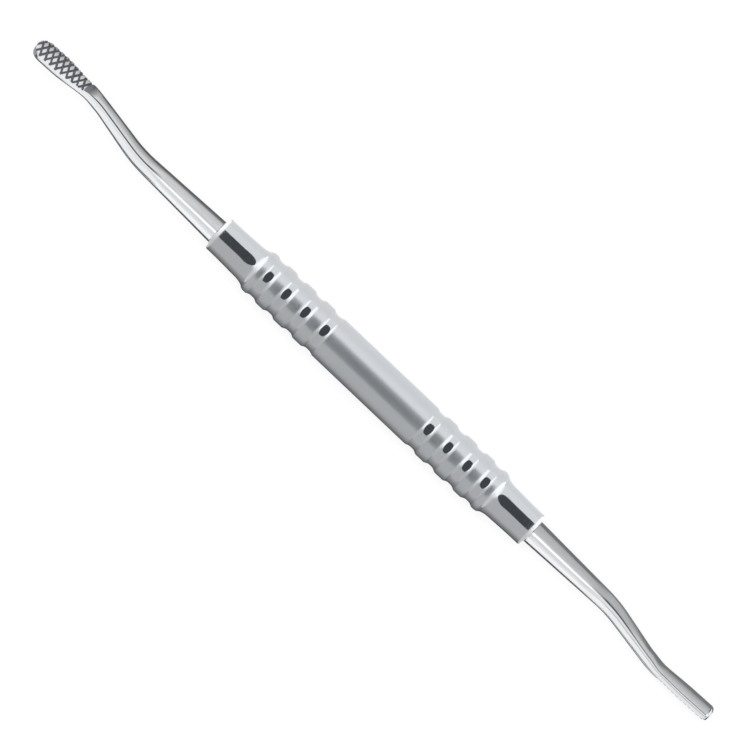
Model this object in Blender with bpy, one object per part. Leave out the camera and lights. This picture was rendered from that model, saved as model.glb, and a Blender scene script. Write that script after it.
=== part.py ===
# Double-ended bone file in stainless steel: a hollow ribbed handle with a wide and a narrow cross-cut working end.
# It lies as it comes to rest. +X runs along the handle towards the narrow end, +Z is up, and the origin is on the
# surface it lies on, under the middle of the tool's whole length.

import math
from types import SimpleNamespace

import bmesh
import bpy
from mathutils import Vector

# Sizes are in millimetres and angles in degrees, apart from MM itself.
MM = 0.001

# The handle's outline, from the smooth barrel in the middle out to either end
BARREL_LENGTH = 24.2
BARREL_RADIUS = 4.65
GROOVE_COUNT = 4
GROOVE_WIDTH = 3.0
GROOVE_RADIUS = 4.33
GROOVE_FLATNESS = 1.7
RIB_WIDTH = 1.97
RIB_RADIUS = 4.8
OUTER_RIB_WIDTH = 1.64
END_RIB_WIDTH = 0.25
END_RIB_RADIUS = 4.72
END_RIB_FALL = 0.36
END_RIB_FALL_LENGTH = 1.27
FLARE_LENGTH = 2.9
CONE_LENGTH = 6.9
CONE_RADIUS = 3.85
CONE_END_RADIUS = 3.69
LIP_ROUNDING = 0.45

# The handle's inside: a hollow between two sockets
HOLLOW_RADIUS = 3.1
HOLLOW_TAPER = 2.0
SOCKET_FLOOR_GAP = 1.0

# How a working end is held in its socket
TANG_RADIUS = 2.05
TANG_LENGTH = 14.0
TANG_CHAMFER = 0.4
FIT_GAP = 0.3
SHOULDER_CHAMFER = 0.12

# The bent shank, the same on both ends
SHANK_STRAIGHT = 18.1
SHANK_ROOT_RADIUS = 2.52
SHANK_BEND_RADIUS = 1.94
NECK_RADIUS = 1.56
BEND_ANGLE = 15.3
FIRST_BEND_RADIUS = 22.0
SECOND_BEND_RADIUS = 16.0
NECK_OFFSET = 3.45
HEAD_DROP_ANGLE = 2.4

# Both heads: their sides, the ramp from the round neck to the flat face, the thinned tip, the slant of the cuts and
# how far the bars that cut them stand out. Squareness is the power of a superellipse, and ROUND is a circle's. Overshoot,
# thinnest and share are plain ratios.
ROUND = 2.0
SIDE_SQUARENESS = 6.0
SIDE_OVERSHOOT = 1.35
FACE_RUN_OUT = 2.4
RUN_OUT_IN_BEND = 1.8
TIP_THINNING = 1.0
TIP_THINNEST = 0.45
FILE_SLANT = 24.0
CROSS_SLANT = 21.0
CROSS_CUT_SHARE = 0.85
WIDENING_SHARE = 0.65
BAR_OVERRUN = 3.0
BAR_CLEARANCE = 0.17

# The wide head
WIDE_HALF_WIDTH = 2.45
WIDE_NECK_HALF_WIDTH = 1.5
WIDE_FACE_RISE = 1.0
WIDE_BACK_DEPTH = 1.15
WIDE_BACK_SQUARENESS = 2.6
WIDE_TIP_LENGTH = 2.5
WIDE_TIP_SQUARENESS = 2.3
WIDE_TOOTH_PITCH = 1.32
WIDE_TOOTH_COUNT = 9
WIDE_TOOTH_WIDTH = 0.68
WIDE_TOOTH_DEPTH = 0.34
WIDE_FIRST_TOOTH = 1.6
WIDE_CROSS_TOOTH = 1.1

# The narrow head
NARROW_HALF_WIDTH = 1.7
NARROW_NECK_HALF_WIDTH = 1.42
NARROW_FACE_RISE = 0.85
NARROW_BACK_DEPTH = 0.85
NARROW_BACK_SQUARENESS = 3.6
NARROW_TIP_LENGTH = 1.3
NARROW_TIP_SQUARENESS = 3.0
NARROW_TOOTH_PITCH = 1.04
NARROW_TOOTH_COUNT = 11
NARROW_TOOTH_WIDTH = 0.56
NARROW_TOOTH_DEPTH = 0.28
NARROW_FIRST_TOOTH = 1.2
NARROW_CROSS_TOOTH = 0.93

# How far the faces of the heads are rolled away from straight up
ROLL_ANGLE = 45.0

# Fineness of the facets, with the flat tolerance in radians. The handle lies still on one of its facets
HANDLE_SIDES = 16
SHANK_SIDES = 24
GROOVE_STATIONS = (-1.0, -0.82, -0.65, -0.45, -0.2, 0.2, 0.45, 0.65, 0.82, 1.0)
END_RIB_STEPS = 3
FLARE_STEPS = 4
LIP_STEPS = 2
BEND_STEPS = 5
TIP_STEPS = 6
TIP_LAST_TURN = 80.0
FLAT_TOLERANCE = 0.001

# The steels: colour, roughness
SATIN_STEEL = ((0.66, 0.67, 0.68, 1.0), 0.32)
POLISHED_STEEL = ((0.72, 0.72, 0.73, 1.0), 0.08)


def rib_widths():
    """Widths of the flat crests that follow each groove, from the barrel outwards."""
    return [RIB_WIDTH] * (GROOVE_COUNT - 2) + [OUTER_RIB_WIDTH, END_RIB_WIDTH]


def groove_area_length():
    return GROOVE_COUNT * GROOVE_WIDTH + sum(rib_widths())


def handle_half_length():
    return BARREL_LENGTH / 2 + groove_area_length() + END_RIB_FALL_LENGTH + FLARE_LENGTH + CONE_LENGTH


def ring_radii(radius):
    """How far a ring's corners and flats lie from its axis: the real circle runs between the two."""
    flat_share = math.cos(math.pi / HANDLE_SIDES)
    corner = radius / math.sqrt(flat_share)
    return corner, corner * flat_share


def axis_height():
    """Height of the handle's axis when its ribs lie on the surface on one of their facets."""
    return ring_radii(RIB_RADIUS)[1]


def groove_rise(share):
    """How far up a groove's side a point is, from 0 at the middle to 1 at the edge: a round bottom, a rounded edge."""
    return (1 - math.cos(math.pi * abs(share) ** GROOVE_FLATNESS)) / 2


def groove_points(start, inner_radius, outer_radius):
    """Outline of one groove whose inner edge is at start, between crests of two radii."""
    points = []
    for share in GROOVE_STATIONS:
        crest = inner_radius if share < 0 else outer_radius
        radius = GROOVE_RADIUS + (crest - GROOVE_RADIUS) * groove_rise(share)
        points.append((start + GROOVE_WIDTH * (1 + share) / 2, radius))
    return points


def shoulder_points(start):
    """Outline from the end rib's crest over its rounded side and down the hollow flare to the cone."""
    points = []
    for step in range(1, END_RIB_STEPS + 1):
        share = step / END_RIB_STEPS
        points.append((start + END_RIB_FALL_LENGTH * share, END_RIB_RADIUS - END_RIB_FALL * share**2))
    flare_start = start + END_RIB_FALL_LENGTH
    height = END_RIB_RADIUS - END_RIB_FALL - CONE_RADIUS
    for step in range(1, FLARE_STEPS + 1):
        share = step / FLARE_STEPS
        points.append((flare_start + FLARE_LENGTH * share, CONE_RADIUS + height * (1 - share) ** 2))
    return points


def lip_points(end):
    """Outline of the rounded lip at the cone's end, down to the flat end face."""
    points = []
    for step in range(LIP_STEPS + 1):
        turn = math.pi / 2 * step / LIP_STEPS
        along = end - LIP_ROUNDING * (1 - math.sin(turn))
        points.append((along, CONE_END_RADIUS - LIP_ROUNDING * (1 - math.cos(turn))))
    return points


def outer_half_outline():
    """The handle's outside from the barrel's edge to the end face, as (distance from the middle, radius)."""
    points = []
    position = BARREL_LENGTH / 2
    inner_radius = BARREL_RADIUS
    for index, width in enumerate(rib_widths()):
        crest = END_RIB_RADIUS if index == GROOVE_COUNT - 1 else RIB_RADIUS
        points += groove_points(position, inner_radius, crest)
        position += GROOVE_WIDTH + width
        inner_radius = crest
    points.append((position, END_RIB_RADIUS))
    points += shoulder_points(position)
    return points + lip_points(handle_half_length())


def inner_half_outline():
    """The handle's inside from the socket's mouth to the hollow, as (distance from the middle, radius)."""
    mouth = handle_half_length()
    floor = mouth - TANG_LENGTH - SOCKET_FLOOR_GAP
    socket_radius = TANG_RADIUS + FIT_GAP
    return [(mouth, socket_radius), (floor, socket_radius), (floor - HOLLOW_TAPER, HOLLOW_RADIUS)]


def mirrored(points):
    """The same outline on the other half of the handle, in the order that joins on to the first half."""
    return [(-along, radius) for along, radius in reversed(points)]


def steel(name, look):
    colour, roughness = look
    material = bpy.data.materials.new(name)
    material.use_nodes = True
    shader = material.node_tree.nodes["Principled BSDF"]
    shader.inputs["Base Color"].default_value = colour
    shader.inputs["Metallic"].default_value = 1.0
    shader.inputs["Roughness"].default_value = roughness
    return material


def add_object(name, mesh, material=None, sharp_angle=30.0):
    """Links an object made from a bmesh in millimetres, shaded smooth up to the sharp angle."""
    bmesh.ops.recalc_face_normals(mesh, faces=mesh.faces)
    bmesh.ops.scale(mesh, vec=(MM, MM, MM), verts=mesh.verts)
    data = bpy.data.meshes.new(name)
    mesh.to_mesh(data)
    mesh.free()
    data.shade_smooth()
    data.set_sharp_from_angle(angle=math.radians(sharp_angle))
    if material:
        data.materials.append(material)
    made = bpy.data.objects.new(name, data)
    bpy.context.scene.collection.objects.link(made)
    return made


def build_handle():
    """The hollow handle, turned about X, with one row of facets centred underneath."""
    outer = outer_half_outline()
    inner = inner_half_outline()
    outline = mirrored(outer) + outer + inner + mirrored(inner)
    half_facet = math.pi / HANDLE_SIDES
    mesh = bmesh.new()
    ring = []
    for along, radius in outline:
        corner, flat = ring_radii(radius)
        ring.append(mesh.verts.new((along, corner * math.sin(half_facet), -flat)))
    edges = [mesh.edges.new((ring[index - 1], ring[index])) for index in range(len(ring))]
    bmesh.ops.spin(
        mesh,
        geom=ring + edges,
        cent=(0, 0, 0),
        axis=(1, 0, 0),
        angle=2 * math.pi,
        steps=HANDLE_SIDES,
        use_merge=True,
    )
    return add_object("handle", mesh, steel("satin_steel", SATIN_STEEL))


def wide_head():
    return SimpleNamespace(
        half_width=WIDE_HALF_WIDTH,
        neck_half_width=WIDE_NECK_HALF_WIDTH,
        face_rise=WIDE_FACE_RISE,
        back_depth=WIDE_BACK_DEPTH,
        back_squareness=WIDE_BACK_SQUARENESS,
        tip_length=WIDE_TIP_LENGTH,
        tip_squareness=WIDE_TIP_SQUARENESS,
        tooth_pitch=WIDE_TOOTH_PITCH,
        tooth_count=WIDE_TOOTH_COUNT,
        tooth_width=WIDE_TOOTH_WIDTH,
        tooth_depth=WIDE_TOOTH_DEPTH,
        first_tooth=WIDE_FIRST_TOOTH,
        cross_tooth=WIDE_CROSS_TOOTH,
    )


def narrow_head():
    return SimpleNamespace(
        half_width=NARROW_HALF_WIDTH,
        neck_half_width=NARROW_NECK_HALF_WIDTH,
        face_rise=NARROW_FACE_RISE,
        back_depth=NARROW_BACK_DEPTH,
        back_squareness=NARROW_BACK_SQUARENESS,
        tip_length=NARROW_TIP_LENGTH,
        tip_squareness=NARROW_TIP_SQUARENESS,
        tooth_pitch=NARROW_TOOTH_PITCH,
        tooth_count=NARROW_TOOTH_COUNT,
        tooth_width=NARROW_TOOTH_WIDTH,
        tooth_depth=NARROW_TOOTH_DEPTH,
        first_tooth=NARROW_FIRST_TOOTH,
        cross_tooth=NARROW_CROSS_TOOTH,
    )


def face_length(head):
    """Length of the flat file face, from the last cut to the tip."""
    cuts = (head.tooth_count - 1) * head.tooth_pitch
    return head.first_tooth + cuts + head.tooth_width / 2


def slope_length():
    """Length of the straight run between the two bends that brings the neck to its offset."""
    angle = math.radians(BEND_ANGLE)
    rise_of_bends = (FIRST_BEND_RADIUS + SECOND_BEND_RADIUS) * (1 - math.cos(angle))
    return (NECK_OFFSET - rise_of_bends) / math.sin(angle)


def path_segments(head):
    """The centreline as (length, turn in radians): out of the handle, up, along, and down to the head."""
    up = math.radians(BEND_ANGLE)
    down = up + math.radians(HEAD_DROP_ANGLE)
    return [
        (SHANK_STRAIGHT, 0.0),
        (FIRST_BEND_RADIUS * up, up),
        (slope_length(), 0.0),
        (SECOND_BEND_RADIUS * down, -down),
        (face_length(head) + FACE_RUN_OUT - RUN_OUT_IN_BEND, 0.0),
    ]


def path_point(head, distance):
    """Place, direction and normal of the centreline at a distance from the handle's end face."""
    place = Vector((0, 0, 0))
    heading = 0.0
    left = distance
    segments = path_segments(head)
    for index, (length, turn) in enumerate(segments):
        run = left if index == len(segments) - 1 else min(left, length)
        if turn and run > 0:
            radius = length / turn
            after = heading + turn * run / length
            place.x += radius * (math.sin(after) - math.sin(heading))
            place.z += radius * (math.cos(heading) - math.cos(after))
            heading = after
        else:
            place += Vector((math.cos(heading), 0, math.sin(heading))) * run
        left -= run
        if left <= 0:
            break
    direction = Vector((math.cos(heading), 0, math.sin(heading)))
    normal = Vector((-math.sin(heading), 0, math.cos(heading)))
    return place, direction, normal


def total_length(head):
    return sum(length for length, _ in path_segments(head))


def mix(start, end, share):
    return start + (end - start) * share


def smooth(share):
    share = min(1.0, max(0.0, share))
    return share * share * (3 - 2 * share)


def shank_radius(head, distance):
    """Radius of the round shank, which tapers in two straight runs down to the neck."""
    segments = path_segments(head)
    neck = sum(length for length, _ in segments[:3])
    if distance < SHANK_STRAIGHT:
        return mix(SHANK_ROOT_RADIUS, SHANK_BEND_RADIUS, distance / SHANK_STRAIGHT)
    share = min(1.0, (distance - SHANK_STRAIGHT) / (neck - SHANK_STRAIGHT))
    return mix(SHANK_BEND_RADIUS, NECK_RADIUS, share)


def tip_widths(head, distance):
    """The share of the full width left by the rounded tip, and the share of the back's depth."""
    power = head.tip_squareness
    into_tip = max(0.0, distance - total_length(head) + head.tip_length) / head.tip_length
    into_edge = max(0.0, distance - total_length(head) + TIP_THINNING) / TIP_THINNING
    return (1 - into_tip**power) ** (1 / power), mix(1.0, TIP_THINNEST, into_edge**2)


def section_ring(head, distance):
    """The corners of the section at a distance from the handle's end face.

    It is round along the shank, and flat above and bulging below along the head.
    """
    total = total_length(head)
    face_start = total - face_length(head)
    ramp_start = face_start - FACE_RUN_OUT
    forged = smooth((distance - ramp_start + RUN_OUT_IN_BEND) / (FACE_RUN_OUT + RUN_OUT_IN_BEND))
    ground = smooth((distance - ramp_start) / FACE_RUN_OUT)
    widening = smooth((distance - face_start + FACE_RUN_OUT / 2) / (WIDENING_SHARE * face_length(head)))
    width_share, depth_share = tip_widths(head, distance)

    radius = shank_radius(head, distance)
    half_width = width_share * mix(radius, mix(head.neck_half_width, head.half_width, widening), forged)
    roof = mix(radius, head.face_rise * SIDE_OVERSHOOT, forged)
    flat = mix(radius, head.face_rise, ground)
    depth = depth_share * mix(radius, head.back_depth, forged)
    upper_power = mix(ROUND, SIDE_SQUARENESS, forged)
    lower_power = mix(ROUND, head.back_squareness, forged)

    place, _, normal = path_point(head, distance)
    corners = []
    for index in range(SHANK_SIDES):
        turn = 2 * math.pi * index / SHANK_SIDES
        power = upper_power if math.sin(turn) >= 0 else lower_power
        across = half_width * math.copysign(abs(math.cos(turn)) ** (2 / power), math.cos(turn))
        share = abs(math.sin(turn)) ** (2 / power)
        above = min(flat, roof * share) if math.sin(turn) >= 0 else -depth * share
        corners.append(place + Vector((0, across, 0)) + normal * above)
    return corners


def circle(along, radius):
    """The corners of the round tang at a place on the handle's axis."""
    corners = []
    for index in range(SHANK_SIDES):
        turn = 2 * math.pi * index / SHANK_SIDES
        corners.append(Vector((along, radius * math.cos(turn), radius * math.sin(turn))))
    return corners


def spread(start, end, steps):
    """Distances after start up to end, evenly spaced."""
    return [mix(start, end, step / steps) for step in range(1, steps + 1)]


def stations(head):
    """Distances of the sections from the shoulder to just short of the tip, close together where the shape turns."""
    lengths = [length for length, _ in path_segments(head)]
    first_bend = lengths[0]
    slope = first_bend + lengths[1]
    neck = slope + lengths[2]
    total = sum(lengths)
    face_start = total - face_length(head)
    tip_start = total - head.tip_length
    found = [first_bend]
    found += spread(first_bend, slope, BEND_STEPS)
    found += spread(slope, neck, 2)
    found += spread(neck, face_start, BEND_STEPS + 2)
    found += spread(face_start, tip_start, 4)
    for step in range(1, TIP_STEPS + 1):
        turn = math.radians(TIP_LAST_TURN) * step / TIP_STEPS
        share = math.sin(turn) ** (2 / head.tip_squareness)
        found.append(tip_start + head.tip_length * share)
    return found


def skinned(rings):
    """A closed mesh through rings of equal size, capped at both ends."""
    mesh = bmesh.new()
    loops = [[mesh.verts.new(corner) for corner in ring] for ring in rings]
    for one, two in zip(loops, loops[1:]):
        for index in range(len(one)):
            mesh.faces.new((one[index - 1], one[index], two[index], two[index - 1]))
    mesh.faces.new(loops[0])
    mesh.faces.new(loops[-1])
    bmesh.ops.dissolve_limit(mesh, angle_limit=FLAT_TOLERANCE, verts=mesh.verts, edges=mesh.edges)
    return mesh


def cutter(name, head, slant, depth, first_from_tip, count):
    """A row of V-shaped bars that cut one direction of the file's grooves."""
    turn = math.radians(slant)
    side_slope = head.tooth_width / 2 / head.tooth_depth
    half_top = depth * side_slope
    half_bar = head.half_width + BAR_OVERRUN
    mesh = bmesh.new()
    for index in range(count):
        distance = total_length(head) - first_from_tip - index * head.tooth_pitch
        place, direction, normal = path_point(head, distance)
        across = Vector((0, 1, 0))
        bar = direction * math.sin(turn) + across * math.cos(turn)
        side = direction * math.cos(turn) - across * math.sin(turn)
        bottom = place + normal * (head.face_rise - depth)
        top = bottom + normal * (depth + BAR_CLEARANCE)
        opening = side * (half_top + BAR_CLEARANCE * side_slope)
        ends = []
        for end in (-half_bar, half_bar):
            corners = (bottom, top + opening, top - opening)
            ends.append([mesh.verts.new(corner + bar * end) for corner in corners])
        mesh.faces.new(ends[0])
        mesh.faces.new(ends[1])
        for corner in range(3):
            mesh.faces.new((ends[0][corner - 1], ends[0][corner], ends[1][corner], ends[1][corner - 1]))
    made = add_object(name, mesh)
    made.display_type = "WIRE"
    made.hide_render = True
    return made


def build_working_end(name, head):
    """One shank with its tang, bends and cross-cut head, along its own +X with the file face up."""
    rings = [
        circle(-TANG_LENGTH, TANG_RADIUS - TANG_CHAMFER),
        circle(-TANG_LENGTH + TANG_CHAMFER, TANG_RADIUS),
        circle(FIT_GAP, TANG_RADIUS),
        circle(FIT_GAP, SHANK_ROOT_RADIUS - SHOULDER_CHAMFER),
        section_ring(head, FIT_GAP + SHOULDER_CHAMFER),
    ]
    rings += [section_ring(head, distance) for distance in stations(head)]
    working_end = add_object(name, skinned(rings), steel(name + "_steel", POLISHED_STEEL))
    rows = (
        ("cut", FILE_SLANT, head.tooth_depth, head.first_tooth, head.tooth_count),
        ("cross_cut", -CROSS_SLANT, head.tooth_depth * CROSS_CUT_SHARE, head.cross_tooth, head.tooth_count),
    )
    for suffix, slant, depth, first_from_tip, count in rows:
        bars = cutter(name + "_" + suffix, head, slant, depth, first_from_tip, count)
        bars.parent = working_end
        cut = working_end.modifiers.new(suffix, "BOOLEAN")
        cut.operation = "DIFFERENCE"
        cut.object = bars
    return working_end


def reach(head):
    """How far a working end stands out of the handle."""
    tip, _, _ = path_point(head, total_length(head))
    return tip.x


def main():
    for old in list(bpy.data.objects):
        bpy.data.objects.remove(old)
    middle = (reach(wide_head()) - reach(narrow_head())) / 2
    height = axis_height()
    handle = build_handle()
    handle.location = Vector((middle, 0, height)) * MM
    wide = build_working_end("wide_file_end", wide_head())
    wide.location = Vector((middle - handle_half_length(), 0, height)) * MM
    wide.rotation_euler = (math.radians(ROLL_ANGLE), 0, math.pi)
    narrow = build_working_end("narrow_file_end", narrow_head())
    narrow.location = Vector((middle + handle_half_length(), 0, height)) * MM
    narrow.rotation_euler = (math.pi - math.radians(ROLL_ANGLE), 0, 0)
    bpy.context.view_layer.update()


main()
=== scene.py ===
# The looks of a double-ended bone file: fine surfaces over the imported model, its steels, a pale floor and a light
# tent. Sizes are in millimetres and angles in degrees unless a comment says otherwise.

import math
from types import SimpleNamespace

import bmesh
import bpy
from mathutils import Matrix, Vector


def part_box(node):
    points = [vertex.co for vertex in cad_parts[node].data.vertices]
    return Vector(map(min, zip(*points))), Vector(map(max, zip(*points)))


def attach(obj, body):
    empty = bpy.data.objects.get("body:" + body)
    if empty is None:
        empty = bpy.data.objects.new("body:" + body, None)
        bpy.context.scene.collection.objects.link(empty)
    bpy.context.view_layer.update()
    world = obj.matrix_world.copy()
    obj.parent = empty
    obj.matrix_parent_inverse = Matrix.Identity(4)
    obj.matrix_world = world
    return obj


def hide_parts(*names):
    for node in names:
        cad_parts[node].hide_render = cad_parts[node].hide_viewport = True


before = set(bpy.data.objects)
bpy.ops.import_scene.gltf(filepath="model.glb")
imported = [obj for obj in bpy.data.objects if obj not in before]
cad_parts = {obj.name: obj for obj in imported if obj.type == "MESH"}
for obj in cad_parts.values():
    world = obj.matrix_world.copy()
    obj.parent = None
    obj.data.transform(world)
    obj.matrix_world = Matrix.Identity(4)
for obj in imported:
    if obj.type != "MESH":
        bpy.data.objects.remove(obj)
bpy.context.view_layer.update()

MM = 0.001
handle_low, handle_high = (Vector(corner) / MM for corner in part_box("handle"))
MIDDLE = (handle_low.x + handle_high.x) / 2

# The handle, its joints with the working ends and its inside. Flatness and powers shape the curves, and polish, its
# start and the joint's hollow are plain ratios
HALF_BARREL = 12.1
BARREL_RADIUS = 4.65
GROOVE_WIDTH = 3.0
GROOVE_RADIUS = 4.33
GROOVE_FLATNESS = 1.7
GROOVE_POLISH = 0.72
RIB_WIDTHS = (1.97, 1.97, 1.64, 0.25)
RIB_RADIUS = 4.8
END_RIB_RADIUS = 4.72
END_RIB_FALL = 0.44
END_RIB_FALL_LENGTH = 1.27
END_RIB_FALL_POWER = 3
END_RIB_POLISH_START = 0.55
FLARE_LENGTH = 2.9
FLARE_POWER = 3
CONE_LENGTH = 6.9
CONE_RADIUS = 3.85
CONE_END_RADIUS = 3.69
LIP_SIZE = 0.4
LIP_TURN = 60.0
JOINT_HEIGHT = 0.3
JOINT_LENGTH = 0.36
JOINT_HOLLOW = 0.4
JOINT_INSET = 0.05
JOINT_OVERLAP = 0.03
SOCKET_RADIUS = 2.35
SOCKET_DEPTH = 15.0
HOLLOW_TAPER = 2.0
HOLLOW_RADIUS = 3.1
AXIS_HEIGHT = handle_high.z / 2
TOP_RADIUS = min(RIB_RADIUS, AXIS_HEIGHT)

# The working ends. Squareness is the power of a superellipse, the rate is in radians a cut, and shares, overshoot,
# thinnest, steepness, unevenness and the cut floor's rise are plain ratios
FIT_GAP = 0.3
TANG_RADIUS = 2.05
TANG_LENGTH = 14.0
TANG_CHAMFER = 0.4
SHOULDER_CHAMFER = 0.12
SHANK_STRAIGHT = 18.1
SHANK_ROOT_RADIUS = 2.52
SHANK_BEND_RADIUS = 1.94
NECK_RADIUS = 1.56
BEND_ANGLE = 15.3
FIRST_BEND_RADIUS = 22.0
SECOND_BEND_RADIUS = 16.0
NECK_OFFSET = 3.45
HEAD_DROP_ANGLE = 2.4
SIDE_SQUARENESS = 6.0
SIDE_OVERSHOOT = 1.35
FACE_RUN_OUT = 2.4
RUN_OUT_IN_BEND = 1.8
TIP_THINNING = 1.0
TIP_THINNEST = 0.45
TIP_LAST_TURN = 80.0
FILE_SLANT = 24.0
CROSS_SLANT = 21.0
CROSS_CUT_SHARE = 0.85
WIDENING_SHARE = 0.65
ROLL_ANGLE = 45.0
NECK_SQUARENESS = 3.2
SQUARING_START = 13.8
SQUARING_LENGTH = 5.4
CUT_SHARE = 0.75
CUT_STEEPNESS = 1.2
CUT_UNEVENNESS = 0.1
CUT_UNEVENNESS_RATE = 2.4
CUT_FLOOR = 0.06
CUT_FLOOR_RISE = 0.45
BAR_CLEARANCE = 0.17
BAR_OVERRUN = 3.0

# Which faces are the ground ramp: how far it goes past the run-out at its start and its end, and the least rise
RAMP_BEFORE = 1.0
RAMP_AFTER = 0.2
RAMP_LEAST_NORMAL = 0.8

WIDE = SimpleNamespace(
    half_width=2.41, neck_half_width=1.5, face_rise=1.0, back_depth=1.03, back_squareness=2.6,
    tip_length=2.5, tip_squareness=2.3, tooth_pitch=1.32, tooth_count=9, tooth_width=0.68, tooth_depth=0.34,
    first_tooth=1.6, cross_tooth=1.1,
)
NARROW = SimpleNamespace(
    half_width=1.7, neck_half_width=1.42, face_rise=0.85, back_depth=0.85, back_squareness=3.6,
    tip_length=1.3, tip_squareness=3.0, tooth_pitch=1.04, tooth_count=11, tooth_width=0.56, tooth_depth=0.28,
    first_tooth=1.2, cross_tooth=0.93,
)

# Fineness. A circle's power is 2, flats within the tolerance in radians are joined, and slivers narrower than the
# weld are closed
ROUND = 2.0
HANDLE_SIDES = 144
SHANK_SIDES = 96
GROOVE_STEPS = 20
END_RIB_STEPS = 8
FLARE_STEPS = 14
CONE_STEPS = 8
LIP_STEPS = 10
JOINT_STEPS = 12
STATION_STEPS = (24, 24, 14, 40, 30)
TIP_STEPS = 24
TIP_FINE_TURN = 88.0
FLAT_TOLERANCE = 0.0005
WELD = 0.0002
SLIVER_CORNERS = 4
HANDLE_SHARP_ANGLE = 30.0
END_SHARP_ANGLE = 22.0

# The noise's middle range, the depth of the finest relief in metres, the colour that ground steel fades to, how far
# up a surface faces where its reflections start to lean and where they lean fully, and the turn of the turning marks
NOISE_LOW = 0.3
NOISE_HIGH = 0.7
RELIEF_DEPTH = 0.00001
FADED_COLOUR = (0.84, 0.845, 0.85, 1)
LEAN_START = 0.3
LEAN_FULL = 0.75
QUARTER_TURN = 0.25


# Materials

def new_material(name):
    material = bpy.data.materials.new(name)
    material.use_nodes = True
    tree = material.node_tree
    return material, tree, tree.nodes["Principled BSDF"]


def node(tree, kind, **settings):
    made = tree.nodes.new(kind)
    for key, value in settings.items():
        setattr(made, key, value)
    return made


def math_node(tree, operation, one, two=None):
    made = node(tree, "ShaderNodeMath", operation=operation)
    for socket, value in zip(made.inputs, (one, two)):
        if value is None:
            continue
        if isinstance(value, (int, float)):
            socket.default_value = value
        else:
            tree.links.new(value, socket)
    return made.outputs[0]


def noise(tree, scale, stretch, detail):
    """Noise over the object's own coordinates, stretched along each axis, at a scale in cycles per metre."""
    place = node(tree, "ShaderNodeTexCoord")
    mapping = node(tree, "ShaderNodeMapping")
    mapping.inputs["Scale"].default_value = stretch
    tree.links.new(place.outputs["Object"], mapping.inputs["Vector"])
    made = node(tree, "ShaderNodeTexNoise")
    made.inputs["Scale"].default_value = scale
    made.inputs["Detail"].default_value = detail
    tree.links.new(mapping.outputs["Vector"], made.inputs["Vector"])
    return made.outputs["Fac"]


def ranged(tree, value, low, high):
    """The value's middle range spread from low to high."""
    made = node(tree, "ShaderNodeMapRange")
    made.inputs["From Min"].default_value = NOISE_LOW
    made.inputs["From Max"].default_value = NOISE_HIGH
    made.inputs["To Min"].default_value = low
    made.inputs["To Max"].default_value = high
    tree.links.new(value, made.inputs["Value"])
    return made.outputs["Result"]


def stepped(tree, value, low, high, first, last):
    """A smooth step from first to last while the value goes from low to high."""
    made = node(tree, "ShaderNodeMapRange", interpolation_type="SMOOTHSTEP")
    for socket, number in zip(made.inputs[1:5], (low, high, first, last)):
        socket.default_value = number
    tree.links.new(value, made.inputs["Value"])
    return made.outputs["Result"]


def tinted(tree, value, dark, light):
    """A colour between dark and light that follows the value's middle range."""
    made = node(tree, "ShaderNodeMix", data_type="RGBA")
    made.inputs["A"].default_value = (*dark, 1)
    made.inputs["B"].default_value = (*light, 1)
    tree.links.new(ranged(tree, value, 0, 1), made.inputs["Factor"])
    return made.outputs["Result"]


def steel(name, dark, light, smooth_to, rough_to, grain, streaks, bump, spread=0.0, leaning=0.0, fading=()):
    """A steel whose colour, roughness and bump follow a fine grain and polishing streaks. Fine turning marks spread
    its reflections along the axis, and their lean, in degrees, turns those of the upper side round it. The colour can
    fade to a polished one between two distances from the middle, in millimetres."""
    material, tree, shader = new_material(name)
    shader.inputs["Metallic"].default_value = 1.0
    if spread:
        shader.inputs["Anisotropic"].default_value = spread
        shader.inputs["Anisotropic Rotation"].default_value = QUARTER_TURN
        around = node(tree, "ShaderNodeTangent", direction_type="RADIAL", axis="X")
        tree.links.new(around.outputs["Tangent"], shader.inputs["Tangent"])
    fine = noise(tree, *grain)
    long = noise(tree, *streaks)
    halves = [math_node(tree, "MULTIPLY", part, 0.5) for part in (fine, long)]
    both = math_node(tree, "ADD", *halves)
    colour = tinted(tree, both, dark, light)
    if fading:
        place = node(tree, "ShaderNodeNewGeometry")
        split = node(tree, "ShaderNodeSeparateXYZ")
        tree.links.new(place.outputs["Position"], split.inputs["Vector"])
        along = math_node(tree, "ABSOLUTE", math_node(tree, "SUBTRACT", split.outputs["X"], MIDDLE * MM))
        share = stepped(tree, along, fading[0] * MM, fading[1] * MM, 0, 1)
        faded = node(tree, "ShaderNodeMix", data_type="RGBA")
        tree.links.new(share, faded.inputs["Factor"])
        tree.links.new(colour, faded.inputs["A"])
        faded.inputs["B"].default_value = FADED_COLOUR
        colour = faded.outputs["Result"]
    tree.links.new(colour, shader.inputs["Base Color"])
    tree.links.new(ranged(tree, long, smooth_to, rough_to), shader.inputs["Roughness"])
    relief = node(tree, "ShaderNodeBump")
    if leaning:
        facing = node(tree, "ShaderNodeNewGeometry")
        upward = node(tree, "ShaderNodeSeparateXYZ")
        tree.links.new(facing.outputs["Normal"], upward.inputs["Vector"])
        angle = stepped(tree, upward.outputs["Z"], LEAN_START, LEAN_FULL, 0, -math.radians(leaning))
        lean = node(tree, "ShaderNodeVectorRotate", rotation_type="X_AXIS")
        tree.links.new(angle, lean.inputs["Angle"])
        tree.links.new(facing.outputs["Normal"], lean.inputs["Vector"])
        tree.links.new(lean.outputs["Vector"], relief.inputs["Normal"])
    relief.inputs["Strength"].default_value = bump
    relief.inputs["Distance"].default_value = RELIEF_DEPTH
    tree.links.new(both, relief.inputs["Height"])
    tree.links.new(relief.outputs["Normal"], shader.inputs["Normal"])
    return material


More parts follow.
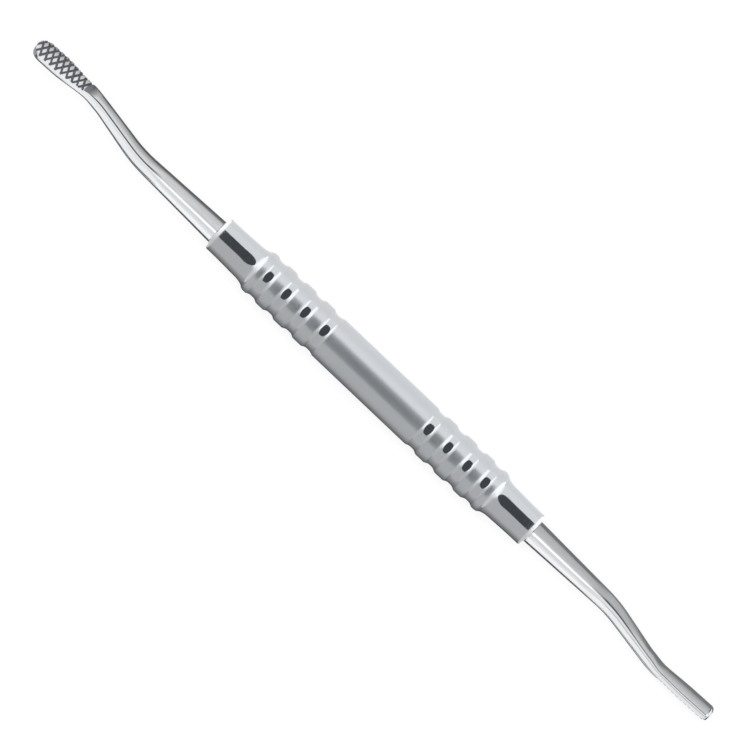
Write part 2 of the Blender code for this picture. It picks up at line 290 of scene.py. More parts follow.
SATIN = steel(
    "satin_steel", dark=(0.81, 0.83, 0.85), light=(0.87, 0.89, 0.91), smooth_to=0.36, rough_to=0.42,
    grain=(9000, (1, 1, 1), 2.0), streaks=(2500, (6, 1, 1), 3.0), bump=0.3, spread=0.82, leaning=6.5,
)
POLISHED = steel(
    "polished_turned_steel", dark=(0.825, 0.84, 0.86), light=(0.865, 0.88, 0.9), smooth_to=0.07, rough_to=0.11,
    grain=(5000, (1, 1, 1), 2.0), streaks=(1500, (8, 1, 1), 3.0), bump=0.06,
)
MIRROR = steel(
    "mirror_steel", dark=(0.78, 0.785, 0.79), light=(0.9, 0.905, 0.91), smooth_to=0.05, rough_to=0.14,
    grain=(5000, (0.5, 1, 1), 2.0), streaks=(1900, (0.1, 1, 1), 3.0), bump=0.06,
)
# The cut steel's dark colour is painted shade in the file's grooves, and its higher roughness is the cut's own finish
CUT_STEEL_PAINTED_SHADE = steel(
    "cut_steel_painted_shade", dark=(0.21, 0.22, 0.235), light=(0.35, 0.36, 0.38), smooth_to=0.22, rough_to=0.34,
    grain=(8000, (1, 1, 1), 2.0), streaks=(3000, (1, 3, 3), 3.0), bump=0.2,
)
GROUND = steel(
    "ground_steel", dark=(0.19, 0.2, 0.215), light=(0.32, 0.33, 0.35), smooth_to=0.24, rough_to=0.34,
    grain=(7000, (1, 1, 1), 2.0), streaks=(2600, (0.3, 2, 2), 3.0), bump=0.2, fading=(77.0, 75.2),
)
SOLDER = steel(
    "joint_steel", dark=(0.84, 0.85, 0.86), light=(0.9, 0.905, 0.91), smooth_to=0.1, rough_to=0.16,
    grain=(5000, (1, 1, 1), 2.0), streaks=(1500, (8, 1, 1), 3.0), bump=0.06,
)


# Shared shape helpers

def mix(start, end, share):
    return start + (end - start) * share


def smooth(share):
    share = min(1.0, max(0.0, share))
    return share * share * (3 - 2 * share)


def spread(start, end, steps):
    return [mix(start, end, step / steps) for step in range(1, steps + 1)]


def new_object(name, mesh, materials):
    """An object from a bmesh, linked to the scene."""
    data = bpy.data.meshes.new(name)
    mesh.to_mesh(data)
    mesh.free()
    for material in materials:
        data.materials.append(material)
    made = bpy.data.objects.new(name, data)
    bpy.context.scene.collection.objects.link(made)
    return made


def finished(name, mesh, materials, replaced=(), sharp=HANDLE_SHARP_ANGLE):
    """An object from a bmesh in millimetres in the world's place, shaded smooth, riding on the one body."""
    bmesh.ops.recalc_face_normals(mesh, faces=mesh.faces)
    bmesh.ops.scale(mesh, vec=(MM, MM, MM), verts=mesh.verts)
    made = new_object(name, mesh, materials)
    made.data.shade_smooth()
    made.data.set_sharp_from_angle(angle=math.radians(sharp))
    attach(made, "root")
    if replaced:
        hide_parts(*replaced)


def turned(outline, sides):
    """A closed surface turned about the handle's axis from (along, radius, finish) points."""
    mesh = bmesh.new()
    rings = []
    for along, radius, _ in outline:
        ring = []
        for side in range(sides):
            turn = 2 * math.pi * side / sides
            place = (MIDDLE + along, radius * math.cos(turn), AXIS_HEIGHT + radius * math.sin(turn))
            ring.append(mesh.verts.new(place))
        rings.append(ring)
    for index in range(len(outline)):
        finish = outline[index][2]
        one, two = rings[index - 1], rings[index]
        for side in range(sides):
            face = mesh.faces.new((one[side - 1], one[side], two[side], two[side - 1]))
            face.material_index = finish
    return mesh


# The handle

def groove_rise(share):
    return (1 - math.cos(math.pi * abs(share) ** GROOVE_FLATNESS)) / 2


def handle_half():
    """The outline from the barrel out to the end face, as (along, radius, finish) points, and where it ends. Finish 0
    is satin and 1 is polished, of the strip that ends at the point."""
    points = []
    position = HALF_BARREL
    inner = BARREL_RADIUS
    for index, width in enumerate(RIB_WIDTHS):
        outer = END_RIB_RADIUS if index == len(RIB_WIDTHS) - 1 else TOP_RADIUS
        for step in range(GROOVE_STEPS + 1):
            share = 2 * step / GROOVE_STEPS - 1
            crest = inner if share < 0 else outer
            radius = GROOVE_RADIUS + (crest - GROOVE_RADIUS) * groove_rise(share)
            points.append((position + GROOVE_WIDTH * (1 + share) / 2, radius, int(abs(share) < GROOVE_POLISH)))
        position += GROOVE_WIDTH + width
        inner = outer
    points.append((position, END_RIB_RADIUS, 0))
    for share in spread(0, 1, END_RIB_STEPS):
        radius = END_RIB_RADIUS - END_RIB_FALL * share**END_RIB_FALL_POWER
        points.append((position + END_RIB_FALL_LENGTH * share, radius, int(share > END_RIB_POLISH_START)))
    position += END_RIB_FALL_LENGTH
    height = END_RIB_RADIUS - END_RIB_FALL - CONE_RADIUS
    for share in spread(0, 1, FLARE_STEPS):
        points.append((position + FLARE_LENGTH * share, CONE_RADIUS + height * (1 - share) ** FLARE_POWER, 1))
    position += FLARE_LENGTH
    end = position + CONE_LENGTH
    for share in spread(0, 1, CONE_STEPS):
        along = position + (CONE_LENGTH - LIP_SIZE) * share
        points.append((along, mix(CONE_RADIUS, CONE_END_RADIUS, share * (2 - share)), 1))
    lip_radius = LIP_SIZE / math.sin(math.radians(LIP_TURN))
    for step in range(1, LIP_STEPS + 1):
        turn = math.radians(LIP_TURN) * step / LIP_STEPS
        along = end - LIP_SIZE + lip_radius * math.sin(turn)
        points.append((along, CONE_END_RADIUS - lip_radius * (1 - math.cos(turn)), 1))
    return points, end


def build_handle():
    """The hollow handle. Returns how far its end faces lie from its middle."""
    outer, end = handle_half()
    floor = end - SOCKET_DEPTH
    inner = [(end, SOCKET_RADIUS, 1), (floor, SOCKET_RADIUS, 0), (floor - HOLLOW_TAPER, HOLLOW_RADIUS, 0)]
    whole = outer + inner
    # A strip's finish belongs to its far end, so the mirrored half takes each finish from the next point
    other = []
    for index in range(len(whole) - 1, -1, -1):
        along, radius, _ = whole[index]
        finish = whole[index + 1][2] if index + 1 < len(whole) else 0
        other.append((-along, radius, finish))
    split = len(inner)
    outline = other[split:] + whole + other[:split]
    mesh = turned(outline, HANDLE_SIDES)
    finished("turned_handle", mesh, (SATIN, POLISHED), ("handle",))
    return end


# The working ends

def face_length(head):
    """Length of the cut face along the head."""
    return head.first_tooth + (head.tooth_count - 1) * head.tooth_pitch + head.tooth_width / 2


def path_segments(head):
    """Length and turn of each stretch of the shank's middle line, from the handle's end face to the tip."""
    up = math.radians(BEND_ANGLE)
    down = up + math.radians(HEAD_DROP_ANGLE)
    slope = (NECK_OFFSET - (FIRST_BEND_RADIUS + SECOND_BEND_RADIUS) * (1 - math.cos(up))) / math.sin(up)
    return [
        (SHANK_STRAIGHT, 0.0),
        (FIRST_BEND_RADIUS * up, up),
        (slope, 0.0),
        (SECOND_BEND_RADIUS * down, -down),
        (face_length(head) + FACE_RUN_OUT - RUN_OUT_IN_BEND, 0.0),
    ]


def path_point(head, distance):
    """Place, direction and upward normal at a distance along the middle line."""
    place = Vector((0, 0, 0))
    heading = 0.0
    left = distance
    segments = path_segments(head)
    for index, (length, turn) in enumerate(segments):
        run = left if index == len(segments) - 1 else min(left, length)
        if turn and run > 0:
            radius = length / turn
            after = heading + turn * run / length
            place.x += radius * (math.sin(after) - math.sin(heading))
            place.z += radius * (math.cos(heading) - math.cos(after))
            heading = after
        else:
            place += Vector((math.cos(heading), 0, math.sin(heading))) * run
        left -= run
        if left <= 0:
            break
    return place, Vector((math.cos(heading), 0, math.sin(heading))), Vector((-math.sin(heading), 0, math.cos(heading)))


def total_length(head):
    return sum(length for length, _ in path_segments(head))


def tip_reach(head):
    """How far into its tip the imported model's head goes before it is closed."""
    return math.sin(math.radians(TIP_LAST_TURN)) ** (2 / head.tip_squareness)


def shank_radius(head, distance):
    neck = sum(length for length, _ in path_segments(head)[:3])
    if distance < SHANK_STRAIGHT:
        return mix(SHANK_ROOT_RADIUS, SHANK_BEND_RADIUS, distance / SHANK_STRAIGHT)
    return mix(SHANK_BEND_RADIUS, NECK_RADIUS, min(1.0, (distance - SHANK_STRAIGHT) / (neck - SHANK_STRAIGHT)))


def section_ring(head, distance):
    """The corners of the section: round along the shank, flat above and bulging below along the head."""
    total = total_length(head)
    face_start = total - face_length(head)
    ramp_start = face_start - FACE_RUN_OUT
    forged = smooth((distance - ramp_start + RUN_OUT_IN_BEND) / (FACE_RUN_OUT + RUN_OUT_IN_BEND))
    ground = smooth((distance - ramp_start) / FACE_RUN_OUT)
    widening = smooth((distance - face_start + FACE_RUN_OUT / 2) / (WIDENING_SHARE * face_length(head)))
    into_tip = max(0.0, distance - total + head.tip_length) / (head.tip_length * tip_reach(head))
    into_edge = max(0.0, distance - total + TIP_THINNING) / TIP_THINNING
    power = head.tip_squareness
    width_share = (1 - into_tip**power) ** (1 / power)
    depth_share = mix(1.0, TIP_THINNEST, into_edge**2)

    # The neck is squared without growing across its corners, one of which points straight up
    neck_power = mix(ROUND, NECK_SQUARENESS, smooth((distance - SQUARING_START) / SQUARING_LENGTH))
    radius = shank_radius(head, distance) * 2 ** (1 / neck_power - 1 / ROUND)
    half_width = width_share * mix(radius, mix(head.neck_half_width, head.half_width, widening), forged)
    roof = mix(radius, head.face_rise * SIDE_OVERSHOOT, forged)
    flat = mix(radius, head.face_rise, ground)
    depth = depth_share * mix(radius, head.back_depth, forged)
    upper_power = mix(neck_power, SIDE_SQUARENESS, forged)
    lower_power = mix(neck_power, head.back_squareness, forged)
    place, _, normal = path_point(head, distance)
    corners = []
    for index in range(SHANK_SIDES):
        turn = 2 * math.pi * index / SHANK_SIDES
        power = upper_power if math.sin(turn) >= 0 else lower_power
        across = half_width * math.copysign(abs(math.cos(turn)) ** (2 / power), math.cos(turn))
        share = abs(math.sin(turn)) ** (2 / power)
        above = min(flat, roof * share) if math.sin(turn) >= 0 else -depth * share
        corners.append(place + Vector((0, across, 0)) + normal * above)
    return corners


def circle(along, radius):
    corners = []
    for index in range(SHANK_SIDES):
        turn = 2 * math.pi * index / SHANK_SIDES
        corners.append(Vector((along, radius * math.cos(turn), radius * math.sin(turn))))
    return corners


def stations(head):
    """Distances along the middle line that get a section ring, closest together on the head and at its tip."""
    lengths = [length for length, _ in path_segments(head)]
    first_bend = lengths[0]
    slope = first_bend + lengths[1]
    neck = slope + lengths[2]
    total = sum(lengths)
    face_start = total - face_length(head)
    tip_start = total - head.tip_length
    marks = (FIT_GAP + SHOULDER_CHAMFER, first_bend, slope, neck, face_start, tip_start)
    found = []
    for start, end, steps in zip(marks, marks[1:], STATION_STEPS):
        found += spread(start, end, steps)
    for step in range(1, TIP_STEPS + 1):
        turn = math.radians(TIP_FINE_TURN) * step / TIP_STEPS
        found.append(tip_start + head.tip_length * tip_reach(head) * math.sin(turn) ** (2 / head.tip_squareness))
    return found


def skinned(rings):
    """A closed surface through rings of the same number of corners."""
    mesh = bmesh.new()
    loops = [[mesh.verts.new(corner) for corner in ring] for ring in rings]
    for one, two in zip(loops, loops[1:]):
        for index in range(len(one)):
            mesh.faces.new((one[index - 1], one[index], two[index], two[index - 1]))
    mesh.faces.new(loops[0])
    mesh.faces.new(loops[-1])
    return mesh


def cut_rows(head, slant, depth, first_from_tip, count):
    """Bars with a narrow rounded bottom, one for each cut in one direction."""
    turn = math.radians(slant)
    deepest = depth * CUT_SHARE * CUT_STEEPNESS
    side_slope = head.tooth_width / 2 / head.tooth_depth / CUT_STEEPNESS
    across = Vector((0, 1, 0))
    mesh = bmesh.new()
    for index in range(-1, count):
        distance = total_length(head) - first_from_tip - index * head.tooth_pitch
        if distance > total_length(head):
            continue
        place, direction, normal = path_point(head, distance)
        cut_depth = deepest * (1 + CUT_UNEVENNESS * math.sin(CUT_UNEVENNESS_RATE * index))
        bar = direction * math.sin(turn) + across * math.cos(turn)
        side = direction * math.cos(turn) - across * math.sin(turn)
        bottom = place + normal * (head.face_rise - cut_depth)
        top = bottom + normal * (cut_depth + BAR_CLEARANCE)
        half_top = side * (cut_depth * side_slope + BAR_CLEARANCE * side_slope)
        corner_rise = normal * CUT_FLOOR * CUT_FLOOR_RISE
        profile = [
            bottom + side * CUT_FLOOR * 0.5,
            bottom + side * CUT_FLOOR + corner_rise,
            top + half_top,
            top - half_top,
            bottom - side * CUT_FLOOR + corner_rise,
            bottom - side * CUT_FLOOR * 0.5,
        ]
        half_bar = head.half_width + BAR_OVERRUN
        ends = [[mesh.verts.new(corner + bar * end) for corner in profile] for end in (-half_bar, half_bar)]
        mesh.faces.new(ends[0])
        mesh.faces.new(ends[1])
        for corner in range(len(profile)):
            mesh.faces.new((ends[0][corner - 1], ends[0][corner], ends[1][corner], ends[1][corner - 1]))
    bmesh.ops.recalc_face_normals(mesh, faces=mesh.faces)
    return mesh


def build_end(name, head, node_name, place):
    """One working end: skinned, then cut by both rows of bars, then set in the handle."""
    rings = [
        circle(-TANG_LENGTH, TANG_RADIUS - TANG_CHAMFER),
        circle(-TANG_LENGTH + TANG_CHAMFER, TANG_RADIUS),
        circle(FIT_GAP, TANG_RADIUS),
        circle(FIT_GAP, SHANK_ROOT_RADIUS - SHOULDER_CHAMFER),
        section_ring(head, FIT_GAP + SHOULDER_CHAMFER),
    ]
    rings += [section_ring(head, distance) for distance in stations(head)]
    mesh = skinned(rings)
    bmesh.ops.recalc_face_normals(mesh, faces=mesh.faces)
    face_start = total_length(head) - face_length(head)
    ramp_start = path_point(head, face_start - FACE_RUN_OUT)[0].x - RAMP_BEFORE
    ramp_end = path_point(head, face_start)[0].x + RAMP_AFTER
    for face in mesh.faces:
        # The unpolished facet where the file face runs out into the neck
        if ramp_start < face.calc_center_median().x < ramp_end and face.normal.z > RAMP_LEAST_NORMAL:
            face.material_index = 1
    bmesh.ops.dissolve_limit(
        mesh, angle_limit=FLAT_TOLERANCE, verts=mesh.verts, edges=mesh.edges, delimit={"MATERIAL"})
    blank = new_object(name + "_blank", mesh, (MIRROR, GROUND))
    rows = (
        (FILE_SLANT, head.tooth_depth, head.first_tooth, head.tooth_count),
        (-CROSS_SLANT, head.tooth_depth * CROSS_CUT_SHARE, head.cross_tooth, head.tooth_count),
    )
    bars = []
    for index, (slant, depth, first_from_tip, count) in enumerate(rows):
        cutter = new_object(f"{name}_bars_{index}", cut_rows(head, slant, depth, first_from_tip, count), (CUT_STEEL_PAINTED_SHADE,))
        bars.append(cutter)
        cut = blank.modifiers.new(f"cut_{index}", "BOOLEAN")
        cut.operation = "DIFFERENCE"
        cut.material_mode = "TRANSFER"
        cut.object = cutter
    bpy.context.view_layer.update()
    shaped = bpy.data.meshes.new_from_object(blank.evaluated_get(bpy.context.evaluated_depsgraph_get()))
    for old in [blank] + bars:
        bpy.data.objects.remove(old)
    mesh = bmesh.new()
    mesh.from_mesh(shaped)
    bmesh.ops.dissolve_degenerate(mesh, dist=WELD, edges=mesh.edges)
    open_edges = [edge for edge in mesh.edges if edge.is_boundary]
    bmesh.ops.holes_fill(mesh, edges=open_edges, sides=SLIVER_CORNERS)
    bmesh.ops.transform(mesh, matrix=place, verts=mesh.verts)
    finished(name, mesh, tuple(shaped.materials), (node_name,), sharp=END_SHARP_ANGLE)


def joint_ring(name, end, side):
    """The small hollow-sided ring of hard solder between the handle's end face and the shank."""
    inner = SHANK_ROOT_RADIUS - JOINT_OVERLAP
    points = [(-JOINT_INSET, inner), (-JOINT_INSET, inner + JOINT_HEIGHT)]
    for share in [0] + spread(0, 1, JOINT_STEPS):
        reach = (1 - JOINT_HOLLOW) * share + JOINT_HOLLOW * share**2
        points.append((JOINT_LENGTH * reach, inner + JOINT_HEIGHT * (1 - share)))
    outline = [(side * (end + along), radius, 0) for along, radius in points]
    finished(name, turned(outline, SHANK_SIDES), (SOLDER,))


handle_end = build_handle()
seat = Vector((0, 0, AXIS_HEIGHT))
wide_place = (
    Matrix.Translation(seat + Vector((MIDDLE - handle_end, 0, 0)))
    @ Matrix.Rotation(math.pi, 4, "Z")
    @ Matrix.Rotation(math.radians(ROLL_ANGLE), 4, "X")
)
narrow_place = (
    Matrix.Translation(seat + Vector((MIDDLE + handle_end, 0, 0)))
    @ Matrix.Rotation(math.pi - math.radians(ROLL_ANGLE), 4, "X")
)
build_end("ground_wide_end", WIDE, "wide_file_end", wide_place)
build_end("ground_narrow_end", NARROW, "narrow_file_end", narrow_place)
joint_ring("joint_wide", handle_end, -1)
joint_ring("joint_narrow", handle_end, 1)


# Floor, tent and light panels. Levels are plain ratios, and turns are degrees from straight up towards +Y

FLOOR_RADIUS = 6.0
FLOOR_SIDES = 96
FLOOR_GRAY = 0.93
FLOOR_WHITENESS = 0.8
COOL = (0.985, 0.998, 1.015)
DARK_COOL = (0.88, 0.98, 1.12)

# How high the panels on the floor lie, and the tunnels over the working ends
PANEL_HEIGHT = 0.04
UPPER_PANEL_HEIGHT = 0.06
TUNNEL_RADIUS = 15.0
TUNNEL_START = 41.45
TUNNEL_END = 100.0
TUNNEL_STEPS = 108
TUNNEL_BLEND_STEPS = 6
FOOT = 108.4

# The light discs at the handle's ends: place, inner radius, levels on the -Y and the +Y side
COLLAR_PLACE = 41.4
COLLAR_RADIUS = 2.6
COLLAR_STEPS = 36
COLLAR_BLEND = 0.6
COLLAR_LEVELS = (0.62, 1.15)

# The dark strips on the floor along the working ends
STRIP_START = 0.45
STRIP_PAST_TIP = 4
STRIP_STEPS = 24
STRIP_EDGE = TUNNEL_RADIUS * 0.95
NEAR_STRIP_WIDTH = 1.8
# The near strip is painted shade of the shank on the floor, which only reflections see
NEAR_STRIP_LEVELS = (0.06, 0.14)
WIDE_STRIP_LEVELS = (0.16, 0.1)
NARROW_STRIP_LEVELS = (0.24, 0.16)

# The gray patch on the floor beyond the wide tip
TIP_FLOOR = (90.3, 125)
TIP_FLOOR_SIDES = (-15, 3)
TIP_FLOOR_LEVEL = 0.38

# The floor beside the handle and further out: distances from the axis, then levels on either side
FLOOR_HALF_LENGTH = 41.65
FLOOR_PLACES = (2, 8, 10.5, 15.5)
# The low near levels on the -Y side are painted shade of the handle on the floor, which only reflections see
NEAR_FLOOR_LEVELS = (0.06, 0.13, 0.19, 0.26)
FAR_FLOOR_LEVELS = (0.8, 0.76, 0.74, 0.72)
WIDE_FLOOR_HALF_LENGTH = 3000
WIDE_FLOOR_PLACES = (15.5, 25, 60, 400, 3000)
NEAR_WIDE_FLOOR_LEVELS = (0.26, 0.33, 0.4, 0.42, 0.42)
FAR_WIDE_FLOOR_LEVELS = (0.72, 0.72, 0.72, 0.72, 0.72)

# The dark opening overhead: height, turn of its middle, half its turn, lean along the axis, squareness of its edge and
# how much of the lean its -Y side keeps
OPENING_HEIGHT = 150.0
OPENING_TURN = 11.6
OPENING_HALF_TURN = 32.1
OPENING_LEAN = 39.5
OPENING_SQUARENESS = 2.15
OPENING_NEAR_LEAN = 0.75
OPENING_LEVEL = 0.06
OPENING_STEPS = 96

# Smooth steps of the tent's level from the -Y to the +Y side, over the sides and towards the ends: start and end of
# the step, level before and after it. The last one blends the two along the axis.
TENT_SIDES = (-0.15, 0.15, 0.46, 0.76)
TENT_ENDS = (-0.3, 0.2, 0.5, 1.13)
TENT_BLEND = (0.43, 0.66, 0, 1)


def build_floor():
    """A white floor that the camera sees close to pure white, with the object's soft shadow."""
    mesh = bmesh.new()
    bmesh.ops.create_circle(mesh, cap_ends=True, radius=FLOOR_RADIUS, segments=FLOOR_SIDES)
    material, tree, shader = new_material("floor_white")
    shader.inputs["Base Color"].default_value = (FLOOR_GRAY, FLOOR_GRAY, FLOOR_GRAY, 1)
    shader.inputs["Roughness"].default_value = 1.0
    shader.inputs["Specular IOR Level"].default_value = 0.0
    path = node(tree, "ShaderNodeLightPath")
    seen = math_node(tree, "MAXIMUM", path.outputs["Is Camera Ray"], path.outputs["Is Glossy Ray"])
    seen = math_node(tree, "MAXIMUM", seen, path.outputs["Is Transmission Ray"])
    share = math_node(tree, "MULTIPLY", seen, FLOOR_WHITENESS)
    white = node(tree, "ShaderNodeEmission")
    white.inputs["Color"].default_value = (1, 1, 1, 1)
    both = node(tree, "ShaderNodeMixShader")
    tree.links.new(share, both.inputs[0])
    tree.links.new(shader.outputs[0], both.inputs[1])
    tree.links.new(white.outputs[0], both.inputs[2])
    tree.links.new(both.outputs[0], tree.nodes["Material Output"].inputs["Surface"])
    new_object("floor", mesh, (material,))


def panel_material(name, colour):
    """Light of the level that each corner of a panel carries."""
    material = bpy.data.materials.new(name)
    material.use_nodes = True
    tree = material.node_tree
    tree.nodes.clear()
    level = node(tree, "ShaderNodeAttribute", attribute_name="level")
    light = node(tree, "ShaderNodeEmission")
    light.inputs["Color"].default_value = (*colour, 1)
    tree.links.new(level.outputs["Fac"], light.inputs["Strength"])
    out = node(tree, "ShaderNodeOutputMaterial")
    tree.links.new(light.outputs["Emission"], out.inputs["Surface"])
    return material


PANEL_LIGHT = panel_material("panel_light", COOL)
DARK_LIGHT = panel_material("dark_light", DARK_COOL)


def panel(name, rows, levels, material=PANEL_LIGHT):
    """A light panel that only reflections see, through rows of points in millimetres, each row with its own level."""
    mesh = bmesh.new()
    layer = mesh.verts.layers.float.new("level")
    grid = []
    for row, level in zip(rows, levels):
        corners = []
        for along, y, z in row:
            corner = mesh.verts.new(Vector((MIDDLE + along, y, z)) * MM)
            corner[layer] = level
            corners.append(corner)
        grid.append(corners)
    for one, two in zip(grid, grid[1:]):
        for index in range(1, len(one)):
            mesh.faces.new((one[index - 1], one[index], two[index], two[index - 1]))
    made = new_object(name, mesh, (material,))
    made.visible_camera = False
    made.visible_diffuse = False
    made.visible_transmission = False
    made.visible_volume_scatter = False
    made.visible_shadow = False


def level_at(stops, turn):
    """The level at a turn, between (turn, level) stops."""
    for (one, level), (two, next_level) in zip(stops, stops[1:]):
        if turn <= two:
            return mix(level, next_level, (turn - one) / (two - one))
    return stops[-1][1]


def tunnel(name, side, stretches):
    """A tunnel of light over a working end. Each stretch is a distance from the middle and stops, which are turns
    with a level each."""
    turns = [-FOOT] + spread(-FOOT, FOOT, TUNNEL_STEPS)
    for (first, stops), (last, next_stops) in zip(stretches, stretches[1:]):
        count = 1 if stops is next_stops else TUNNEL_BLEND_STEPS
        for step in range(count):
            ends = step / count, (step + 1) / count
            rows, levels = [], []
            for turn in turns:
                angle = math.radians(turn)
                y, z = TUNNEL_RADIUS * math.sin(angle), AXIS_HEIGHT + TUNNEL_RADIUS * math.cos(angle)
                rows.append([(side * mix(first, last, share), y, z) for share in ends])
                levels.append(mix(level_at(stops, turn), level_at(next_stops, turn), sum(ends) / 2))
            panel(f"{name}_{round(first)}_{step}", rows, levels)


def collar(name, side, lower, upper):
    """A light disc round a shank just past the handle's end, with a level on the -Y side and one on the +Y side."""
    rows, levels = [], []
    for turn in [-FOOT] + spread(-FOOT, FOOT, COLLAR_STEPS):
        y, z = math.sin(math.radians(turn)), math.cos(math.radians(turn))
        radii = (COLLAR_RADIUS, TUNNEL_RADIUS)
        rows.append([(side * COLLAR_PLACE, radius * y, AXIS_HEIGHT + radius * z) for radius in radii])
        levels.append(mix(lower, upper, smooth((y + COLLAR_BLEND) / (2 * COLLAR_BLEND))))
    panel(name, rows, levels)


def floor_strips(name, head, side, lift, far_levels):
    """Dark strips on the floor along a shank: a wide one beyond it and a narrow one on the near side, which is painted
    shade of the shank on the floor.
    """
    far, middle, near = [], [], []
    for share in [0] + spread(0, 1, STRIP_STEPS):
        distance = STRIP_START + (total_length(head) + STRIP_PAST_TIP) * share
        place = path_point(head, min(distance, total_length(head)))[0]
        radius = shank_radius(head, distance)
        along = side * (handle_end + distance)
        y, z = lift * place.z, AXIS_HEIGHT + lift * place.z
        far.append((along, STRIP_EDGE, PANEL_HEIGHT))
        middle.append((along, y, PANEL_HEIGHT))
        near.append((along, max(-STRIP_EDGE, y - NEAR_STRIP_WIDTH * (z + radius)), PANEL_HEIGHT))
    panel(name + "_far", [far, middle], far_levels)
    panel(name + "_near", [middle, near], NEAR_STRIP_LEVELS)


def opening(height):
    """The dark gap overhead that the lens looks through. Its edge is set out in turns round the axis and leans along
    it, and its corners are cut on the -Y side."""
    centre, edge = [], []
    for step in range(OPENING_STEPS + 1):
        angle = 2 * math.pi * step / OPENING_STEPS
        across, along = (
            math.copysign(abs(value) ** (2 / OPENING_SQUARENESS), value) for value in (math.cos(angle), math.sin(angle)))
        turn = math.radians(OPENING_TURN + OPENING_HALF_TURN * across)
        lean = math.radians(OPENING_LEAN * along * mix(OPENING_NEAR_LEAN, 1, smooth(across + 1)))
        edge.append((height * math.tan(lean) / math.cos(turn), height * math.tan(turn), AXIS_HEIGHT + height))
        centre.append((0, height * math.tan(math.radians(OPENING_TURN)), AXIS_HEIGHT + height))
    panel("opening", [centre, edge], [OPENING_LEVEL, OPENING_LEVEL], DARK_LIGHT)


def floor_panel(name, half_length, side, places, levels):
    """A light panel on the floor along one side of the tool, at distances from its axis."""
    rows = [[(along, side * y, PANEL_HEIGHT) for along in (-half_length, half_length)] for y in places]
    panel(name, rows, levels)


build_floor()
opening(OPENING_HEIGHT)

# Turns and levels of the tunnels, for the straight shanks, the necks, the bend and the heads. They are few and round,
# and were chosen so that the steel's light and dark bands lie as on the photographed tool.
STRAIGHT = (
    (-FOOT, 0.6), (-102, 1.05), (-75, 1.1), (-52, 0.88), (-32, 0.76), (-22, 0.82), (-17, 1.25), (-4, 1.25), (1, 0.68),
    (25, 0.74), (60, 0.67), (74, 0.62), (80, 0.56), (87, 0.42), (93, 0.3), (100, 0.2), (FOOT, 0.16),
)
DIM_STRAIGHT = tuple((turn, level * (0.78 if turn > 1 else 1)) for turn, level in STRAIGHT)
WIDE_NECK = (
    (-FOOT, 0.08), (-96, 0.1), (-90, 1.0), (-60, 1.0), (-48, 0.86), (-30, 0.92), (-8, 1.0), (-5, 0.1), (24, 0.1),
    (28, 0.8), (60, 0.78), (76, 0.66), (86, 0.48), (93, 0.22), (99, 0.12), (FOOT, 0.08),
)
WIDE_BEND = tuple((turn - 7 if 60 < turn < 100 else turn, level) for turn, level in WIDE_NECK)
WIDE_HEAD = (
    (-FOOT, 0.1), (-81, 0.12), (-75, 1.0), (-10, 1.0), (20, 0.6), (40, 0.95), (74, 1.0), (79, 0.82), (84, 0.48),
    (87, 0.2), (FOOT, 0.06),
)
NARROW_NECK = (
    (-FOOT, 0.1), (-102, 0.16), (-97, 1.0), (-78, 1.04), (-70, 0.66), (-60, 0.62), (-50, 0.95), (-30, 0.85),
    (-12, 0.95), (-9, 0.12), (28, 0.12), (33, 0.48), (60, 0.5), (78, 0.54), (96, 0.46), (103, 0.32), (FOOT, 0.26),
)
NARROW_HEAD = (
    (-FOOT, 0.2), (-104, 0.5), (-98, 1.0), (-84, 0.6), (-64, 0.68), (-40, 0.98), (-20, 0.85), (-8, 0.26),
    (20, 0.26), (30, 0.74), (60, 0.64), (75, 0.66), (92, 0.56), (95, 0.5), (99, 0.28), (101, 0.2), (FOOT, 0.18),
)
tunnel("tunnel_wide", -1, (
    (TUNNEL_START, STRAIGHT), (57.0, STRAIGHT), (60.0, WIDE_NECK), (66.0, WIDE_NECK), (70.0, WIDE_BEND),
    (78.0, WIDE_BEND), (81.0, WIDE_HEAD), (TUNNEL_END, WIDE_HEAD)))
tunnel("tunnel_narrow", 1, (
    (TUNNEL_START, DIM_STRAIGHT), (57.5, DIM_STRAIGHT), (63.0, NARROW_NECK), (75.0, NARROW_NECK),
    (79.0, NARROW_HEAD), (TUNNEL_END, NARROW_HEAD)))
collar("collar_wide", -1, *COLLAR_LEVELS)
collar("collar_narrow", 1, *COLLAR_LEVELS)
rise_across = math.cos(math.radians(ROLL_ANGLE))
floor_strips("strips_wide", WIDE, -1, rise_across, WIDE_STRIP_LEVELS)
floor_strips("strips_narrow", NARROW, 1, -rise_across, NARROW_STRIP_LEVELS)
tip_rows = [[(-along, y, UPPER_PANEL_HEIGHT) for along in TIP_FLOOR] for y in TIP_FLOOR_SIDES]
panel("tip_floor", tip_rows, [TIP_FLOOR_LEVEL, TIP_FLOOR_LEVEL])
# Painted shade of the handle on the floor beside it, seen only in reflections
floor_panel("near_floor", FLOOR_HALF_LENGTH, -1, FLOOR_PLACES, NEAR_FLOOR_LEVELS)
floor_panel("near_floor_wide", WIDE_FLOOR_HALF_LENGTH, -1, WIDE_FLOOR_PLACES, NEAR_WIDE_FLOOR_LEVELS)
floor_panel("far_floor", FLOOR_HALF_LENGTH, 1, FLOOR_PLACES, FAR_FLOOR_LEVELS)
floor_panel("far_floor_wide", WIDE_FLOOR_HALF_LENGTH, 1, WIDE_FLOOR_PLACES, FAR_WIDE_FLOOR_LEVELS)


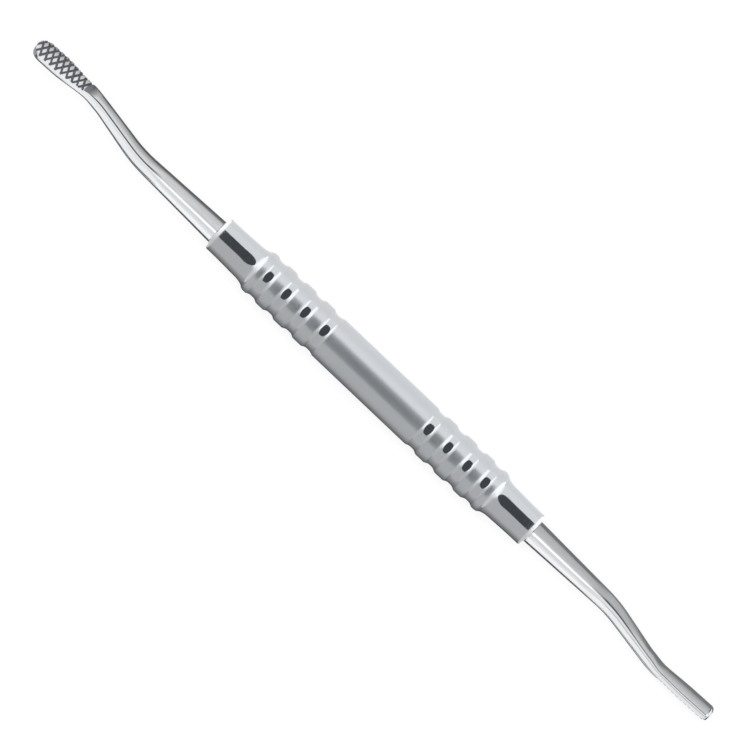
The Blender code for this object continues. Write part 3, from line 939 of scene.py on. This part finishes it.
def build_world():
    """A light tent, brighter on the +Y side and beyond the ends."""
    world = bpy.data.worlds.new("tent")
    bpy.context.scene.world = world
    world.use_nodes = True
    tree = world.node_tree
    tree.nodes.clear()
    place = node(tree, "ShaderNodeTexCoord")
    split = node(tree, "ShaderNodeSeparateXYZ")
    tree.links.new(place.outputs["Generated"], split.inputs["Vector"])
    x, y, _ = split.outputs

    def blended(share, one, two):
        made = node(tree, "ShaderNodeMix", data_type="FLOAT")
        for socket, value in zip(made.inputs[:1] + made.inputs[2:4], (share, one, two)):
            if isinstance(value, (int, float)):
                socket.default_value = value
            else:
                tree.links.new(value, socket)
        return made.outputs["Result"]

    sides = stepped(tree, y, *TENT_SIDES)
    ends = stepped(tree, y, *TENT_ENDS)
    lit = blended(stepped(tree, math_node(tree, "ABSOLUTE", x), *TENT_BLEND), sides, ends)
    path = node(tree, "ShaderNodeLightPath")
    light = node(tree, "ShaderNodeBackground")
    tree.links.new(blended(path.outputs["Is Camera Ray"], lit, 1.0), light.inputs["Strength"])
    light.inputs["Color"].default_value = (*COOL, 1)
    out = node(tree, "ShaderNodeOutputWorld")
    tree.links.new(light.outputs["Background"], out.inputs["Surface"])


build_world()

# A soft lamp overhead for the shadow on the floor: metres and watts. Reflections don't show it
LAMP_SIZE = 1.2
LAMP_POWER = 15.0
LAMP_HEIGHT = 1.4
lamp_data = bpy.data.lights.new("overhead", "AREA")
lamp_data.shape = "DISK"
lamp_data.size = LAMP_SIZE
lamp_data.energy = LAMP_POWER
lamp = bpy.data.objects.new("overhead", lamp_data)
lamp.location = (0, 0, LAMP_HEIGHT)
lamp.visible_glossy = False
lamp.visible_camera = False
bpy.context.scene.collection.objects.link(lamp)

# The camera looks straight down, turned so that the tool lies from the upper left to the lower right: the width that
# it sees at the tool and its place in millimetres, the turn in degrees, the far limit in metres
VIEW_TURN = 43.5
VIEW_WIDTH = 142.5
VIEW_DISTANCE = 1500.0
VIEW_OFFSET = (-0.903, 0.923)
SENSOR_WIDTH = 36.0
FAR_LIMIT = 50.0
camera_data = bpy.data.cameras.new("camera")
camera_data.sensor_width = SENSOR_WIDTH
camera_data.lens = SENSOR_WIDTH * VIEW_DISTANCE / VIEW_WIDTH
camera_data.clip_end = FAR_LIMIT
camera = bpy.data.objects.new("camera", camera_data)
camera.location = Vector((MIDDLE + VIEW_OFFSET[0], VIEW_OFFSET[1], AXIS_HEIGHT + VIEW_DISTANCE)) * MM
camera.rotation_euler = (0, 0, math.radians(VIEW_TURN))
bpy.context.scene.collection.objects.link(camera)
bpy.context.scene.camera = camera
bpy.context.scene.view_settings.view_transform = "Standard"
